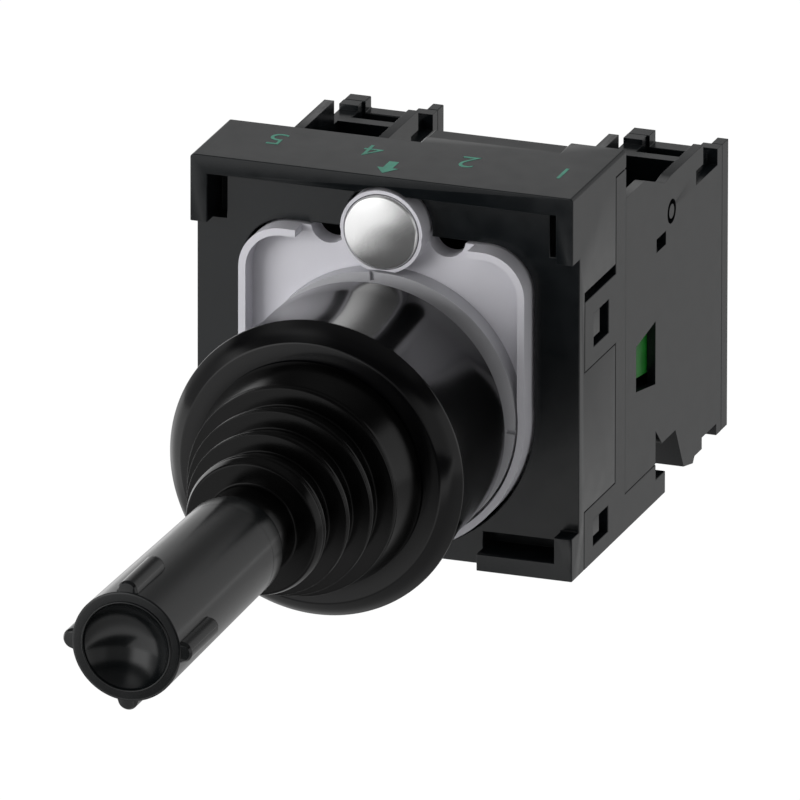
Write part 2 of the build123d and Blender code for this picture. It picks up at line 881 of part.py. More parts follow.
# Bellows: rubber boot gripped by the bell's mouth, with tapering folds and a neck around the rod
with BuildPart() as bellows:
    foot_y = bell_front - seat_clearance
    groove_y = bell_front + bell_front_wall + seat_clearance / 2
    flange_y = groove_y + boot_flange_thickness
    groove_radius = bell_mouth - seat_clearance
    flange_radius = bell_bore - boot_flange_gap
    throat_y = boot_end + boot_wall
    neck_bore = rod_radius + running_clearance
    folds = []
    for index in range(fold_count):
        rim_back = bell_front - fold_start - index * fold_pitch + fold_rim / 2
        rim_radius = fold_radius - index * fold_taper
        folds += [
            (rim_back, rim_radius),
            (rim_back - fold_rim, rim_radius),
            (rim_back - fold_rim - fold_slope, rim_radius - fold_valley),
        ]
    with BuildSketch(facing_right(0)):
        with BuildLine():
            Polyline(
                (flange_y, boot_throat),
                (flange_y, flange_radius),
                (groove_y, flange_radius),
                (groove_y, groove_radius),
                (foot_y, groove_radius),
                (foot_y, bell_mouth + boot_foot_rim),
                *folds[:-1],
                (boot_end, boot_end_radius),
                (boot_end, boot_neck_radius),
                (boot_neck_end, boot_neck_radius),
                (boot_neck_end, neck_bore),
                (throat_y, neck_bore),
                (throat_y, boot_throat_end),
                (bell_front, boot_throat),
                close=True,
            )
        make_face()
    revolve(axis=Axis.Y)
finish(bellows, "bellows")

# Guide disc: holds the two push rods in line inside the collar
with BuildPart() as push_rod_guide:
    with BuildSketch(facing_front(guide_back - seat_clearance)):
        Circle(collar_bore - running_clearance)
        Circle(rod_radius, mode=Mode.SUBTRACT)
        with GridLocations(2 * rocker_arm, 1, 2, 1):
            Circle(push_rod_radius + running_clearance, mode=Mode.SUBTRACT)
    extrude(amount=guide_back - guide_front)
finish(push_rod_guide, "push_rod_guide")

for name, side in {"left": -1, "right": 1}.items():
    slot_x = side * edge_slot
    rod_x = side * rocker_arm
    slot_section, slot_axis = turning(slot_x, 0)
    rod_section, rod_axis = turning(rod_x, 0)

    # Push rod: from the rocker's nose to the contact module's plunger
    with BuildPart() as push_rod:
        with BuildSketch(rod_section):
            with BuildLine():
                Polyline(
                    *half_profile(
                        (push_head_front, push_head_back, push_head_radius),
                        (push_head_back, push_foot_back, push_rod_radius),
                    ),
                    close=True,
                )
            make_face()
        revolve(axis=rod_axis)
        with BuildSketch(facing_front(push_foot_back)):
            foot = (rod_x - side * push_foot_overhang, slot_x + side * push_nose_radius)
            span(foot, (-push_foot_height / 2, push_foot_height / 2))
        extrude(amount=push_foot_thickness)
        nose_back = plunger_head - push_gap
        with BuildSketch(facing_front(nose_back)):
            with Locations((slot_x, 0)):
                Circle(push_nose_radius)
        extrude(amount=nose_back - push_foot_back)
    finish(push_rod, f"push_rod_{name}")

    # Springs: one centres the lever through the push rod, the other returns the plunger
    centring_spring = spring(push_head_back, guide_front, rod_x, centring_spring_radius)
    finish(centring_spring, f"centring_spring_{name}")
    return_spring = spring(stem_end, return_spring_back, slot_x, return_spring_radius)
    finish(return_spring, f"return_spring_{name}")

    # Plunger of the contact module, with a stepped stem that carries the contact bridge
    with BuildPart() as plunger:
        with BuildSketch(facing_right(slot_x - plunger_half_width)):
            with BuildLine():
                Polyline(
                    (plunger_front, plunger_bottom_front),
                    (plunger_front, plunger_top),
                    (plunger_back, plunger_top),
                    (plunger_back, plunger_bottom_back),
                    close=True,
                )
            make_face()
        extrude(amount=2 * plunger_half_width)
        with BuildSketch(facing_front(plunger_front)):
            neck = (slot_x - plunger_neck_half, slot_x + plunger_neck_half)
            span(neck, (plunger_bottom_front, plunger_neck_half))
        extrude(amount=plunger_front - plunger_head)
        flange_start = stem_end - stem_flange_thickness
        with BuildSketch(slot_section):
            with BuildLine():
                Polyline(
                    *half_profile(
                        (plunger_back, bridge_front, stem_radius),
                        (bridge_front, bridge_back, stem_waist),
                        (bridge_back, flange_start, stem_radius),
                        (flange_start, stem_end, stem_flange_radius),
                    ),
                    close=True,
                )
            make_face()
        revolve(axis=slot_axis)
    finish(plunger, f"plunger_{name}")

    # Contact bridge: a copper strip with two contact tips, carried by the plunger's stem
    with BuildPart() as contact_bridge:
        with BuildSketch(facing_front(bridge_back)):
            with Locations((slot_x, 0)):
                Rectangle(2 * bridge_half_width, 2 * bridge_half_length)
                Circle(stem_waist, mode=Mode.SUBTRACT)
        extrude(amount=bridge_thickness)
        with BuildSketch(facing_front(bridge_back + contact_tip_height)):
            with Locations((slot_x, 0)):
                with GridLocations(1, 2 * (bridge_half_length - contact_tip_radius), 1, 2):
                    Circle(contact_tip_radius)
        extrude(amount=contact_tip_height)
    finish(contact_bridge, f"contact_bridge_{name}")

    # Fixed contacts: bent strips with their terminal plates, above and below the plunger
    with BuildPart() as fixed_contacts:
        with BuildSketch(facing_right(slot_x - blade_half_width)):
            blade_top = blade_run + blade_thickness
            span((contact_face, contact_face + blade_thickness), (blade_inner, blade_top))
            span((contact_face, terminal_plate_back), (blade_run, blade_top))
        extrude(amount=2 * blade_half_width)
        with BuildSketch(facing_front(terminal_plate_back)):
            with Locations((slot_x, terminal_height)):
                Rectangle(2 * terminal_half_width, 2 * terminal_half_height)
                Circle(terminal_screw_radius, mode=Mode.SUBTRACT)
        extrude(amount=terminal_plate_thickness)
        mirror(about=Plane.XY)
    finish(fixed_contacts, f"fixed_contacts_{name}")

    # Terminal screws and the square washers under their heads
    terminal_section, terminal_axis = turning(slot_x, terminal_height)
    with BuildPart() as terminal_screws:
        with BuildSketch(terminal_section):
            with BuildLine():
                Polyline(
                    *half_profile(
                        (terminal_screw_tip, terminal_head_front, terminal_screw_radius),
                        (terminal_head_front, terminal_head_back, terminal_head_radius),
                    ),
                    close=True,
                )
            make_face()
        revolve(axis=terminal_axis)
        with BuildSketch(facing_front(terminal_head_back)):
            with Locations((slot_x, terminal_height)):
                cross_slot(terminal_head_radius, terminal_slot_width)
        extrude(amount=terminal_slot_depth, mode=Mode.SUBTRACT)
        mirror(about=Plane.XY)
    finish(terminal_screws, f"terminal_screws_{name}")
    with BuildPart() as clamp_washers:
        with BuildSketch(facing_front(terminal_head_front)):
            with Locations((slot_x, terminal_height)):
                Rectangle(2 * terminal_half_width, 2 * terminal_half_width)
                Circle(terminal_screw_radius + running_clearance, mode=Mode.SUBTRACT)
        extrude(amount=washer_thickness)
        mirror(about=Plane.XY)
    finish(clamp_washers, f"clamp_washers_{name}")

    # Module housing: one moulding with a side outline that hooks over the ledge
    with BuildPart() as module_housing:
        with BuildSketch(facing_right(slot_x - module_outer)):
            with BuildLine():
                Polyline(*module_outline, close=True)
            make_face()
        extrude(amount=2 * module_outer)
        # Open top between the side walls, for the release blade
        pocket(
            (slot_x - module_inner, slot_x + module_inner),
            (module_front + module_wall, terminal_plate_front - bay_wall),
            (bay_floor, frame_top),
        )
        # Channel of the plunger, contact chamber, and the bore for its stem and spring
        channel_half = plunger_half_width + channel_clearance
        pocket(
            (slot_x - channel_half, slot_x + channel_half),
            (module_front - overcut, channel_end),
            (channel_bottom, plunger_top + channel_clearance),
        )
        pocket(
            (slot_x - chamber_half_width, slot_x + chamber_half_width),
            (chamber_front, chamber_back),
            (-chamber_half_height, chamber_half_height),
        )
        bore(stem_radius + running_clearance, channel_end - overcut, chamber_front + overcut, slot_x)
        bore(
            stem_flange_radius + 2 * running_clearance,
            chamber_back - overcut,
            return_spring_back,
            slot_x,
        )
        # Wells of the terminals, open to the top and the bottom for the wires
        for level in (-1, 1):
            well_half = terminal_half_width + seam
            pocket(
                (slot_x - well_half, slot_x + well_half),
                (terminal_plate_back, cap_front),
                (level * terminal_inner, level * frame_top),
            )
            bore(
                terminal_screw_radius + running_clearance,
                terminal_screw_tip - seat_clearance,
                cap_front,
                slot_x,
                level * terminal_height,
            )
        add(fixed_contacts.part, mode=Mode.SUBTRACT)
        # Wire entries in the right-hand wall, above and below, and the square mark
        wall = (slot_x + module_inner - seam, slot_x + module_outer)
        entry = (wire_entry_front, wire_entry_back)
        pocket(wall, entry, (wire_entry_floor, frame_top))
        pocket(wall, entry, (cap_bottom - overcut, cap_bottom + lower_entry_depth))
        pocket(
            wall,
            (wire_entry_front - wire_entry_foot, wire_entry_front),
            (wire_entry_floor, wire_entry_floor + wire_entry_foot_height),
        )
        mark_depths, mark_heights = square_mark
        pocket(
            wall,
            (module_front + mark_depths[0], module_front + mark_depths[1]),
            (bay_floor + mark_heights[0], bay_floor + mark_heights[1]),
        )
        # Windows on both sides that show the plunger
        with BuildSketch(facing_right(slot_x)):
            with BuildLine():
                Polyline(
                    (plunger_front + window_inset[0], window_front[0]),
                    (plunger_back - window_inset[1], window_back[0]),
                    (plunger_back - window_inset[1], window_back[1]),
                    (plunger_front + window_inset[0], window_front[1]),
                    close=True,
                )
            make_face()
        extrude(amount=module_outer, both=True, mode=Mode.SUBTRACT)
        # Round ejector mark on the right-hand wall
        with BuildSketch(facing_right(slot_x + module_outer)):
            with Locations((module_front + ejector_place[0], bay_floor + ejector_place[1])):
                Circle(ejector_radius)
                Circle(ejector_pin_radius, mode=Mode.SUBTRACT)
        extrude(amount=-ejector_depth, mode=Mode.SUBTRACT)
    finish(module_housing, f"module_housing_{name}")

    # Rear cap: closes the terminals, with a round well for each screw and a saddle on top
    with BuildPart() as rear_cap:
        with BuildSketch(facing_front(module_back)):
            span((slot_x - module_outer, slot_x + module_outer), (cap_bottom, cap_top))
            span(
                (slot_x - cap_left_post, slot_x + cap_right_post),
                (cap_top - cap_saddle_depth, cap_top),
                mode=Mode.SUBTRACT,
            )
            with Locations((slot_x, 0)):
                with GridLocations(1, 2 * terminal_height, 1, 2):
                    Circle(terminal_head_radius + running_clearance, mode=Mode.SUBTRACT)
        extrude(amount=cap_thickness - seam)
    finish(rear_cap, f"rear_cap_{name}")
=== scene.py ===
# %% [markdown]
# An industrial joystick for a panel. A rubber-booted lever stands in front of the panel, in a
# gloss black bell. Behind the panel are a square holder and two contact modules. The rigid pieces
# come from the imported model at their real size. This lesson dresses them: it makes the turned and
# soft pieces as smooth surfaces, rounds the moulded edges, and gives each piece its material.

# %% Load the frame
import json
from math import cos, pi, radians, sin

import bmesh
import bpy
import numpy as np
from mathutils import Matrix, Quaternion, Vector


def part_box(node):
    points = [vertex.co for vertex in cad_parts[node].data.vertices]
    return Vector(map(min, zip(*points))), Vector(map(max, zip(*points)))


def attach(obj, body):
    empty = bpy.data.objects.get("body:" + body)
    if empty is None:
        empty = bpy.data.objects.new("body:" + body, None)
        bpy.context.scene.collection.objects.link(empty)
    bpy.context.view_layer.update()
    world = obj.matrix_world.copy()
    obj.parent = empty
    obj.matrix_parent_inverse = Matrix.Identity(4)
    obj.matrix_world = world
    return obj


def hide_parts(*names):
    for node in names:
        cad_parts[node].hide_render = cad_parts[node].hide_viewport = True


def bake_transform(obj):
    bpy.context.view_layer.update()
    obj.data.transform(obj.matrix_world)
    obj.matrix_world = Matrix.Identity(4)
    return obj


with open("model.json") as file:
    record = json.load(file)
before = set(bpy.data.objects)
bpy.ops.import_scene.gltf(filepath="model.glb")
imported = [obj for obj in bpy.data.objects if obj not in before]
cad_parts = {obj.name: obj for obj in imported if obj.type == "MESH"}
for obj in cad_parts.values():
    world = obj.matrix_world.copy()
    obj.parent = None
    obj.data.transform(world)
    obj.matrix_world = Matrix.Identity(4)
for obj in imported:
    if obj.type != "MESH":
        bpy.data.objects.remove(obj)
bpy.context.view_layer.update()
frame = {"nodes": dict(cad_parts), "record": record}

MM = 0.001

# %% [markdown]
# Sizes below are in millimetres and are read from the frame where a node has them, so a surface
# made here lies exactly where its solid is. A node's box gives its lowest and highest corner.


# %% Read sizes in millimetres
def box_mm(node):
    """Lowest and highest corner of a node, in millimetres."""
    low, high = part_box(node)
    return np.array(low) / MM, np.array(high) / MM


bell_low, bell_high = box_mm("bell_housing")
handle_low, handle_high = box_mm("handle")
disc_low, disc_high = box_mm("pressure_disc")
roof_height = box_mm("front_frame")[1][2]
print("bell from", bell_low.round(2), "to", bell_high.round(2))

# %% [markdown]
# The photograph is nearly a parallel view, from 20 degrees right of the lever and 20 degrees
# above it. A long lens far away gives the same picture and still lets other views frame the
# whole object, which a parallel camera would not. The lens follows from the width that the
# picture shows at the object and from the distance.


# %% Place the camera
def add_object(name, data):
    """A new object with that data, linked to the scene."""
    made = bpy.data.objects.new(name, data)
    bpy.context.scene.collection.objects.link(made)
    return made


camera_azimuth = radians(19.70)
camera_elevation = radians(19.76)
camera_roll = radians(0.10)
camera_distance = 3.6
half_view = 39.381 * MM
view_centre = Vector((2.006 * MM, 0, 1.008 * MM))

camera_data = bpy.data.cameras.new("camera")
camera = add_object("camera", camera_data)
backward = Vector(
    (
        sin(camera_azimuth) * cos(camera_elevation),
        -cos(camera_azimuth) * cos(camera_elevation),
        sin(camera_elevation),
    )
)
camera.location = view_centre + backward * camera_distance
camera.rotation_mode = "QUATERNION"
camera.rotation_quaternion = (-backward).to_track_quat("-Z", "Y") @ Quaternion((0, 0, 1), camera_roll)
camera_data.lens = camera_data.sensor_width / 2 / (half_view / camera_distance)
camera_data.clip_start = 0.1
camera_data.clip_end = 10
bpy.context.scene.camera = camera
bpy.context.scene.view_settings.view_transform = "Standard"
print("lens in mm:", round(camera_data.lens))

# %% [markdown]
# One helper adds a shader node, sets its properties and fills its sockets with values or links.
# Colours are written as sRGB hex, as a colour picker shows them, and turned to linear light.


# %% Helpers for shaders
def linear(colour):
    """Linear RGBA of an sRGB hex colour: c / 12.92 in the toe, ((c + 0.055) / 1.055) ** 2.4 above."""
    part = np.array([int(colour[i : i + 2], 16) for i in (1, 3, 5)]) / 255
    value = np.where(part <= 0.04045, part / 12.92, ((part + 0.055) / 1.055) ** 2.4)
    return (*(float(v) for v in value), 1.0)


def add_node(tree, kind, inputs=None, **settings):
    """A new node of that kind, with its settings, and each named socket set or linked."""
    made = tree.nodes.new(kind)
    for name, value in settings.items():
        setattr(made, name, value)
    for name, value in (inputs or {}).items():
        if isinstance(value, bpy.types.NodeSocket):
            tree.links.new(value, made.inputs[name])
        else:
            made.inputs[name].default_value = value
    return made


def ray_masks(tree):
    """Two masks that are 1 for camera rays, and for rays from a mirroring or clear surface."""
    path = add_node(tree, "ShaderNodeLightPath").outputs
    either = {0: path["Is Glossy Ray"], 1: path["Is Transmission Ray"]}
    mirrored = add_node(tree, "ShaderNodeMath", either, operation="MAXIMUM").outputs[0]
    return path["Is Camera Ray"], mirrored


def stepped_light(tree, position, *steps):
    """A light level that is the product of smooth steps along the axes of a position.

    Each step goes from first to last as its axis goes from begin to finish, with t from 0 to 1:
    first + (last - first) * (3t^2 - 2t^3)."""
    light = 1.0
    for axis, begin, finish, first, last in steps:
        ends = {"From Min": begin, "From Max": finish, "To Min": first, "To Max": last}
        sockets = {"Value": position[axis], **ends}
        step = add_node(tree, "ShaderNodeMapRange", sockets, interpolation_type="SMOOTHSTEP")
        factors = {0: light, 1: step.outputs["Result"]}
        light = add_node(tree, "ShaderNodeMath", factors, operation="MULTIPLY").outputs[0]
    return light


def per_mm(size):
    """Scale of a pattern on Object coordinates whose features are that many millimetres apart."""
    return 1 / (size * MM)


# %% [markdown]
# Every material starts the same way: one Principled shader with its constant sockets, and
# patterns on Object coordinates. Nearly every finish here is a grain, so one helper draws it.


# %% Helpers for materials
def start_material(name, **sockets):
    """A material with one Principled shader, its constant sockets set, and Object coordinates."""
    material = bpy.data.materials.new(name)
    material.use_nodes = True
    tree = material.node_tree
    shader = tree.nodes["Principled BSDF"]
    for socket, value in sockets.items():
        shader.inputs[socket.replace("_", " ")].default_value = value
    place = add_node(tree, "ShaderNodeTexCoord").outputs["Object"]
    return material, tree, shader, place


def worked_surface(tree, shader, fine, strength, depth, wide, low, high):
    """A bump of that strength and depth in mm from the fine noise, and roughness that wanders
    from low to high with the middle part of the wide one."""
    height = {"Height": fine, "Strength": strength, "Distance": depth * MM}
    bump = add_node(tree, "ShaderNodeBump", height)
    tree.links.new(bump.outputs["Normal"], shader.inputs["Normal"])
    middle = {"Value": wide, "From Min": 0.3, "From Max": 0.7, "To Min": low, "To Max": high}
    gloss = add_node(tree, "ShaderNodeMapRange", middle)
    tree.links.new(gloss.outputs["Result"], shader.inputs["Roughness"])


def grained(name, grain, depth, low, high, tint=None, **sockets):
    """A material with a bump of that grain and depth in mm, and roughness from low to high.

    Roughness follows a noise eight times as coarse as the grain. tint holds the two colours
    between which that noise mixes the base colour."""
    material, tree, shader, place = start_material(name, **sockets)
    fine_scale = {"Vector": place, "Scale": per_mm(grain), "Detail": 3.0}
    fine = add_node(tree, "ShaderNodeTexNoise", fine_scale).outputs["Fac"]
    wide_scale = {"Vector": place, "Scale": per_mm(8 * grain), "Detail": 4.0}
    wide = add_node(tree, "ShaderNodeTexNoise", wide_scale).outputs["Fac"]
    worked_surface(tree, shader, fine, 1.0, depth, wide, low, high)
    if tint:
        ramp = add_node(tree, "ShaderNodeValToRGB", {"Fac": wide})
        for stop, position, colour in zip(ramp.color_ramp.elements, (0.35, 0.65), tint):
            stop.position = position
            stop.color = linear(colour)
        tree.links.new(ramp.outputs["Color"], shader.inputs["Base Color"])
    return material


# %% [markdown]
# Black plastics owe their look to what they reflect. The camera sees white behind the object.
# Reflections see a studio: light at the front left, dark at the front right, half light behind,
# with a dark band above the walls and a dim ceiling. Each step of light below is an axis, where on
# it the step begins and ends, and the light before and after it. All other light from the room
# has one plain level.

# %% Light the room
world = bpy.data.worlds.new("white room")
bpy.context.scene.world = world
world.use_nodes = True
tree = world.node_tree
tree.nodes.clear()
ambient = 0.42
front_wall = ("X", -0.42, -0.10, 2.00, 0.30)
back_wall = ("X", -0.70, -0.36, 1.50, 0.50)
left_end = ("X", -0.95, -0.72, 0.25, 1.0)
right_end = ("X", 0.50, 0.70, 1.0, 1.80)
dark_band = ("Z", 0.36, 0.50, 1.0, 0.08)
ceiling = ("Z", 0.60, 0.85, 1.0, 4.50)

camera_rays, mirrored = ray_masks(tree)
direction = add_node(tree, "ShaderNodeTexCoord").outputs["Generated"]
axes = add_node(tree, "ShaderNodeSeparateXYZ", {"Vector": direction}).outputs
front_light = stepped_light(tree, axes, front_wall)
back_light = stepped_light(tree, axes, back_wall)
walls = ("Y", -0.5, 0.1, front_light, back_light)
room = stepped_light(tree, axes, walls, left_end, dark_band, ceiling, right_end)
levels = {"Value": mirrored, "To Min": ambient, "To Max": room}
room_light = add_node(tree, "ShaderNodeMapRange", levels).outputs["Result"]
strength = add_node(tree, "ShaderNodeMath", {0: room_light, 1: camera_rays}, operation="MAXIMUM")
white = {"Color": linear("#ffffff"), "Strength": strength.outputs[0]}
background = add_node(tree, "ShaderNodeBackground", white)
add_node(tree, "ShaderNodeOutputWorld", {"Surface": background.outputs[0]})
print("light from the room:", ambient)

# %% [markdown]
# A large soft lamp on the left gives the enamelled plate its fall from light to shade. A weaker
# one above and behind lights the holder's roof. Reflections don't show them, because a gloss
# black piece would mirror each as a bright square that the photograph doesn't have.


# %% Hang the lamps
def add_lamp(name, place, size, power):
    """A square area lamp of that size in metres at place, turned towards the origin."""
    data = bpy.data.lights.new(name, "AREA")
    data.size = size
    data.energy = power
    lamp = add_object(name, data)
    lamp.location = place
    lamp.rotation_mode = "QUATERNION"
    lamp.rotation_quaternion = (-Vector(place)).to_track_quat("-Z", "Y")
    lamp.visible_camera = False
    lamp.visible_glossy = False
    print(name, "at", place)


add_lamp("left lamp", (-0.60, -0.60, 0.14), size=0.60, power=5.8)
add_lamp("top lamp", (0.10, 0.35, 0.60), size=0.50, power=1.0)

# %% [markdown]
# The floor is plain and pale, well below the object, because the photograph shows the object
# free of any surface. Camera rays see it white, and a share of it stays a real lit surface that
# keeps the soft shadow. Reflections see it light in front and half as light behind, as the room,
# with a black card lying at the front right: the boot and the tip of the grip mirror that card.
# From below the floor is clear, so that the underside of the object can be looked at too.

# %% Lay the floor
floor_drop = 95 * MM
floor_reach = 1.5
floor_white = 0.9
floor_glow = 1.06
brightest_reflection = 1.20
card_left = -0.100
card_back = -0.25
front_to_back = ("Y", -0.20, -0.12, 1.20, 0.45)
floor_left = ("X", -0.22, -0.14, 2.7, 1.0)
floor_right = ("X", 0.35, 0.55, 1.0, 2.0)
card_side = ("X", card_left - 0.01, card_left + 0.01, 1.0, 0.0)
card_end = ("Y", card_back - 0.02, card_back + 0.02, 0.0, 1.0)

floor_mesh = bpy.data.meshes.new("floor")
signs = ((-1, -1), (1, -1), (1, 1), (-1, 1))
corners = [(x * floor_reach, y * floor_reach, -floor_drop) for x, y in signs]
floor_mesh.from_pydata(corners, [], [(0, 1, 2, 3)])
floor = add_object("floor", floor_mesh)

floor_paint, tree, shader, place = start_material(
    "matt white painted board", Base_Color=linear("#f2f2f2"), Roughness=0.9
)
camera_rays, mirrored = ray_masks(tree)
seen = add_node(tree, "ShaderNodeMath", {0: camera_rays, 1: mirrored}, operation="MAXIMUM").outputs[0]
spot = add_node(tree, "ShaderNodeSeparateXYZ", {"Vector": place}).outputs
beside = stepped_light(tree, spot, card_side)
behind = stepped_light(tree, spot, card_end)
off_card = add_node(tree, "ShaderNodeMath", {0: beside, 1: behind}, operation="MAXIMUM").outputs[0]
reflected = stepped_light(tree, spot, front_to_back, floor_left, floor_right)
for factor, operation in ((brightest_reflection, "MINIMUM"), (off_card, "MULTIPLY")):
    sockets = {0: reflected, 1: factor}
    reflected = add_node(tree, "ShaderNodeMath", sockets, operation=operation).outputs[0]
levels = {"Value": camera_rays, "To Min": reflected, "To Max": floor_glow}
level = add_node(tree, "ShaderNodeMapRange", levels).outputs["Result"]
share = add_node(tree, "ShaderNodeMath", {0: seen, 1: floor_white}, operation="MULTIPLY").outputs[0]
glow = add_node(tree, "ShaderNodeEmission", {"Color": linear("#ffffff"), "Strength": level})
layers = {0: share, 1: shader.outputs[0], 2: glow.outputs[0]}
lit = add_node(tree, "ShaderNodeMixShader", layers)
clear = add_node(tree, "ShaderNodeBsdfTransparent")
underside = add_node(tree, "ShaderNodeNewGeometry").outputs["Backfacing"]
layers = {0: underside, 1: lit.outputs[0], 2: clear.outputs[0]}
one_sided = add_node(tree, "ShaderNodeMixShader", layers)
tree.links.new(one_sided.outputs[0], tree.nodes["Material Output"].inputs["Surface"])
floor_mesh.materials.append(floor_paint)
print("floor at", -floor_drop)

# %% [markdown]
# Glass-filled polyamide, moulded in a spark-eroded tool: black grey all through, with a fine
# even grain that spreads reflections. The real grain is about 0.05 mm, too fine for the render,
# so it is drawn at 0.25 mm.

# %% Polyamide of the holder and the modules
frame_plastic = grained(
    "glass-filled polyamide",
    grain=0.25,
    depth=0.003,
    low=0.21,
    high=0.27,
    tint=("#0d1012", "#111416"),
    IOR=1.43,
)

# %% [markdown]
# Polished ABS, moulded in a mirror-finished tool. Its black is deep and its reflections are
# sharp, with the faint waves that a moulded gloss surface has.

# %% Polished ABS of the bell
bell_plastic = grained(
    "polished black ABS",
    grain=5.0,
    depth=0.002,
    low=0.12,
    high=0.16,
    Base_Color=linear("#040405"),
    IOR=1.37,
)

# %% [markdown]
# Satin polyamide of the handle: the same black, from a finely blasted tool, so that the room
# shows in it as broad soft streaks.

# %% Satin polyamide of the handle
handle_plastic = grained(
    "satin polyamide",
    grain=0.35,
    depth=0.001,
    low=0.17,
    high=0.20,
    tint=("#07090a", "#0a0c0d"),
    IOR=1.46,
)

# %% [markdown]
# Moulded rubber for the boot and the seal. Its carbon black swallows nearly all light, and its
# skin reflects much less than a hard plastic, which a low IOR gives. Only tight rims catch light.

# %% Moulded rubber
boot_rubber = grained(
    "moulded rubber",
    grain=0.5,
    depth=0.002,
    low=0.16,
    high=0.20,
    tint=("#040404", "#060606"),
    IOR=1.26,
)

# %% [markdown]
# Enamelled zinc for the clamp plate: a light grey stoving enamel over a die casting, with a very
# low orange peel of about 1 mm.

# %% Enamelled zinc
die_cast = grained(
    "enamelled zinc",
    grain=0.9,
    depth=0.004,
    low=0.50,
    high=0.56,
    tint=("#cfced4", "#d5d4da"),
    IOR=1.5,
)

# %% [markdown]
# The locking ring is a zinc die casting too, but bare: tumbled and passivated, it is a darker
# grey. It keeps the slot of the castings, so only its material differs.

# %% Passivated zinc of the locking ring
bare_zinc = grained(
    "passivated zinc",
    grain=0.6,
    depth=0.003,
    low=0.46,
    high=0.54,
    tint=("#b1b1b5", "#b8b8bc"),
    IOR=1.5,
)

# %% [markdown]
# Polished steel for the clamp screw's disc. It was brushed in one direction before polishing,
# so noise stretched along Z draws lines 0.12 mm apart in the roughness and the bump. Lines and
# fine scratches scatter some light all round, which a small share that isn't metallic gives.

# %% Polished steel
polished_steel, tree, shader, place = start_material(
    "polished steel", Base_Color=linear("#e8e8e8"), Metallic=0.85
)
line_width = 0.12
line_length = 6.0
stretch = (per_mm(line_width), per_mm(line_width), per_mm(line_length))
brushing = add_node(tree, "ShaderNodeMapping", {"Vector": place, "Scale": stretch}).outputs["Vector"]
drawn = {"Vector": brushing, "Scale": 1.0, "Detail": 2.0}
lines = add_node(tree, "ShaderNodeTexNoise", drawn).outputs["Fac"]
worked_surface(tree, shader, lines, 0.2, 0.0005, lines, 0.22, 0.26)

# %% [markdown]
# The small inner pieces: zinc-plated steel, a silver-tipped copper alloy, the green PBT of the
# plungers and natural acetal, and the green ink of the roof's numbers. The metals shine softly,
# the plastics are satin and the ink is nearly matt. Each row gives the grain and its depth in mm,
# the least and the greatest roughness, two colours, and the metal or the IOR.

# %% Metals, plastics and ink
metal = {"Metallic": 1.0}
plain_steel, copper_alloy, plunger_green, inner_plastic, marking_ink = (
    grained(name, grain, depth, low, high, tint, **sockets)
    for name, grain, depth, low, high, tint, sockets in (
        ("zinc-plated steel", 0.3, 0.002, 0.28, 0.40, ("#b4b6b8", "#c4c5c4"), metal),
        ("silver-tipped copper alloy", 0.4, 0.002, 0.25, 0.38, ("#c99a6b", "#d8ab7c"), metal),
        ("green PBT", 0.3, 0.004, 0.38, 0.46, ("#0c6a1a", "#107a20"), {"IOR": 1.5}),
        ("natural acetal", 0.4, 0.003, 0.35, 0.45, ("#cfccc2", "#d8d5cb"), {"IOR": 1.48}),
        ("green pad-printing ink", 0.2, 0.001, 0.45, 0.6, ("#4c8f7b", "#5aa38d"), {"IOR": 1.5}),
    )
)

finishes = {
    "frame_plastic": frame_plastic,
    "bell_plastic": bell_plastic,
    "handle_plastic": handle_plastic,
    "boot_rubber": boot_rubber,
    "die_cast": die_cast,
    "polished_steel": polished_steel,
    "plain_steel": plain_steel,
    "copper_alloy": copper_alloy,
    "plunger_green": plunger_green,
    "inner_plastic": inner_plastic,
}

# %% [markdown]
# The record says which slot each node takes its finish from, and which body it belongs to. Each
# node gets its material from that, and so does each piece that is made below.


# %% Give every node its material
def dress(piece, body, slot, *nodes):
    """Gives a piece the material of its slot if it has none, attaches it to its body and hides the nodes
    that it stands for.
    """
    if not piece.data.materials:
        piece.data.materials.append(finishes[slot])
    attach(piece, body)
    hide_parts(*nodes)


record = frame["record"]
slot_of = {row["node"]: row["material_slot"] for row in record["subparts"]}
body_of = {node: body for body, nodes in record["behaviour"]["bodies"].items() for node in nodes}
for name, node in frame["nodes"].items():
    node.data.materials.clear()
    node.data.materials.append(bare_zinc if name == "locking_ring" else finishes[slot_of[name]])
print(len(frame["nodes"]), "nodes have", len(finishes) + 1, "materials")

# %% [markdown]
# A moulded or cast edge is never knife sharp. The frames, the modules and the plate therefore
# get a small round on each edge: their mesh is copied, its loose triangles are joined, flat
# regions become single faces, and a Bevel modifier rounds what is left.

# %% Soften moulded edges
weld = 0.0005 * MM
crease = radians(35)
flatness = radians(0.5)


def softened(node_name, name, radius):
    """A copy of a node's mesh with each edge sharper than the crease rounded to radius, in mm."""
    mesh = frame["nodes"][node_name].data.copy()
    mesh.name = name
    work = bmesh.new()
    work.from_mesh(mesh)
    bmesh.ops.remove_doubles(work, verts=work.verts, dist=weld)
    bmesh.ops.dissolve_limit(work, angle_limit=flatness, verts=work.verts, edges=work.edges)
    work.to_mesh(mesh)
    work.free()
    mesh.polygons.foreach_set("use_smooth", np.ones(len(mesh.polygons), bool))
    mesh.set_sharp_from_angle(angle=crease)
    piece = add_object(name, mesh)
    bevel = piece.modifiers.new("round", "BEVEL")
    bevel.width = radius * MM
    bevel.segments = 2
    bevel.limit_method = "ANGLE"
    bevel.angle_limit = crease
    bevel.use_clamp_overlap = True
    bevel.harden_normals = True
    dress(piece, body_of[node_name], slot_of[node_name], node_name)
    return piece


